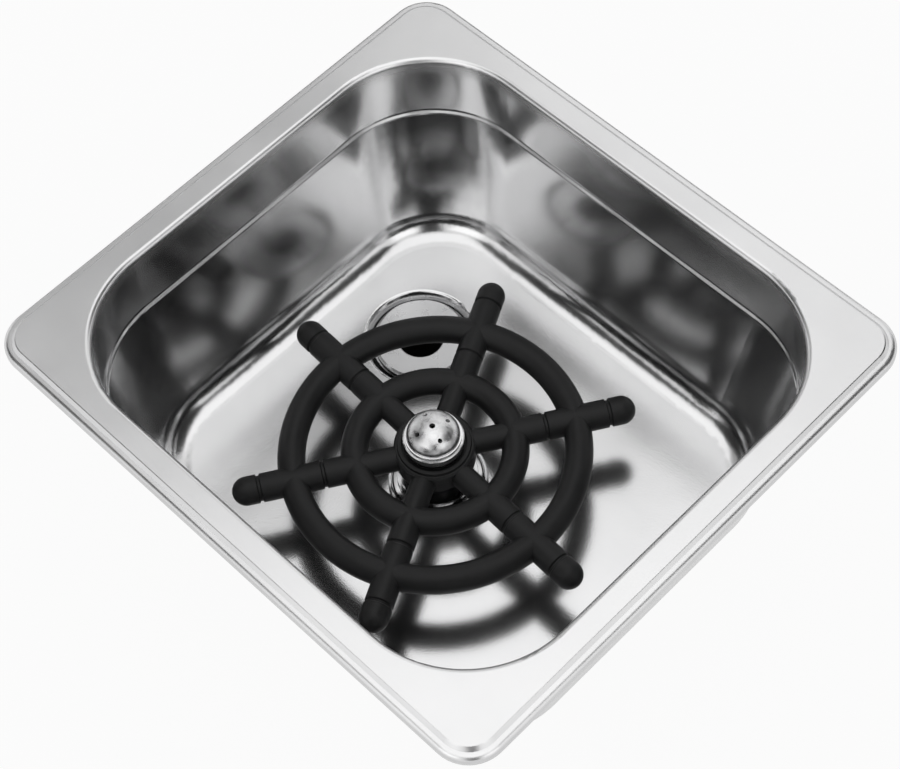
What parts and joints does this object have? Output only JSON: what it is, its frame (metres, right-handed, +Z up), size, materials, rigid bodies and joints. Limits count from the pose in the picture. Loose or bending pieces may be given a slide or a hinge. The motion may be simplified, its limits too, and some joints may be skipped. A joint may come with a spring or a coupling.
{
  "type": "glass rinser",
  "caption": "Drop-in glass rinser: pressed steel pan, spring-loaded valve under a black spoked push wheel with a domed spray nozzle, and a recessed waste outlet.",
  "frame": {"origin": "middle of the rim, at the height of the worktop that the rim rests on", "axes": "+X along the pan's longer side, +Y along its shorter side towards the waste outlet's edge, +Z up"},
  "size_m": [0.176, 0.162, 0.1064],
  "materials": {
    "pan_steel": "bright pressed steel, satin rim",
    "valve_steel": "turned, polished",
    "spring_steel": "drawn wire",
    "nozzle_chrome": "polished",
    "nut_brass": "machined",
    "wheel_rubber": "satin moulded",
    "gasket": "matt",
    "foam": "closed-cell foam",
    "black_acetal": "turned",
    "white_acetal": "turned"
  },
  "bodies": {
    "basin": {"pan": "pan_steel", "rim_strip": "foam", "valve_body": "valve_steel", "valve_gasket": "gasket", "valve_under_gasket": "gasket", "valve_under_washer": "valve_steel", "valve_lock_nut": "nut_brass", "bonnet_nut": "valve_steel", "guide_bush": "black_acetal", "stem_seal": "gasket", "valve_seat": "nut_brass", "spring_retainer": "nut_brass", "inlet_filter": "valve_steel", "return_spring": "spring_steel", "drain_body": "valve_steel", "drain_gasket": "gasket", "drain_under_gasket": "gasket", "drain_under_washer": "valve_steel", "drain_lock_nut": "nut_brass"},
    "follower": {"thrust_ring": "white_acetal"},
    "plunger": {"stem": "valve_steel", "poppet_seal": "gasket", "poppet_disc": "nut_brass", "poppet_nut": "nut_brass", "hub_washer": "valve_steel", "push_wheel": "wheel_rubber", "nozzle_washer": "gasket", "nozzle_collar": "nozzle_chrome", "nozzle_dome": "nozzle_chrome"}
  },
  "joints": [
    {"name": "press", "type": "slide", "parent": "basin", "child": "follower", "axis": [0, 0, -1], "range_m": [0, 0.005], "stiffness_N_per_m": 800, "springref_m": -0.01, "deforming": ["return_spring"]},
    {"name": "spin", "type": "hinge", "parent": "follower", "child": "plunger", "pos_m": [0, -0.0074, -0.0829], "axis": [0, 0, 1], "continuous": true}
  ]
}
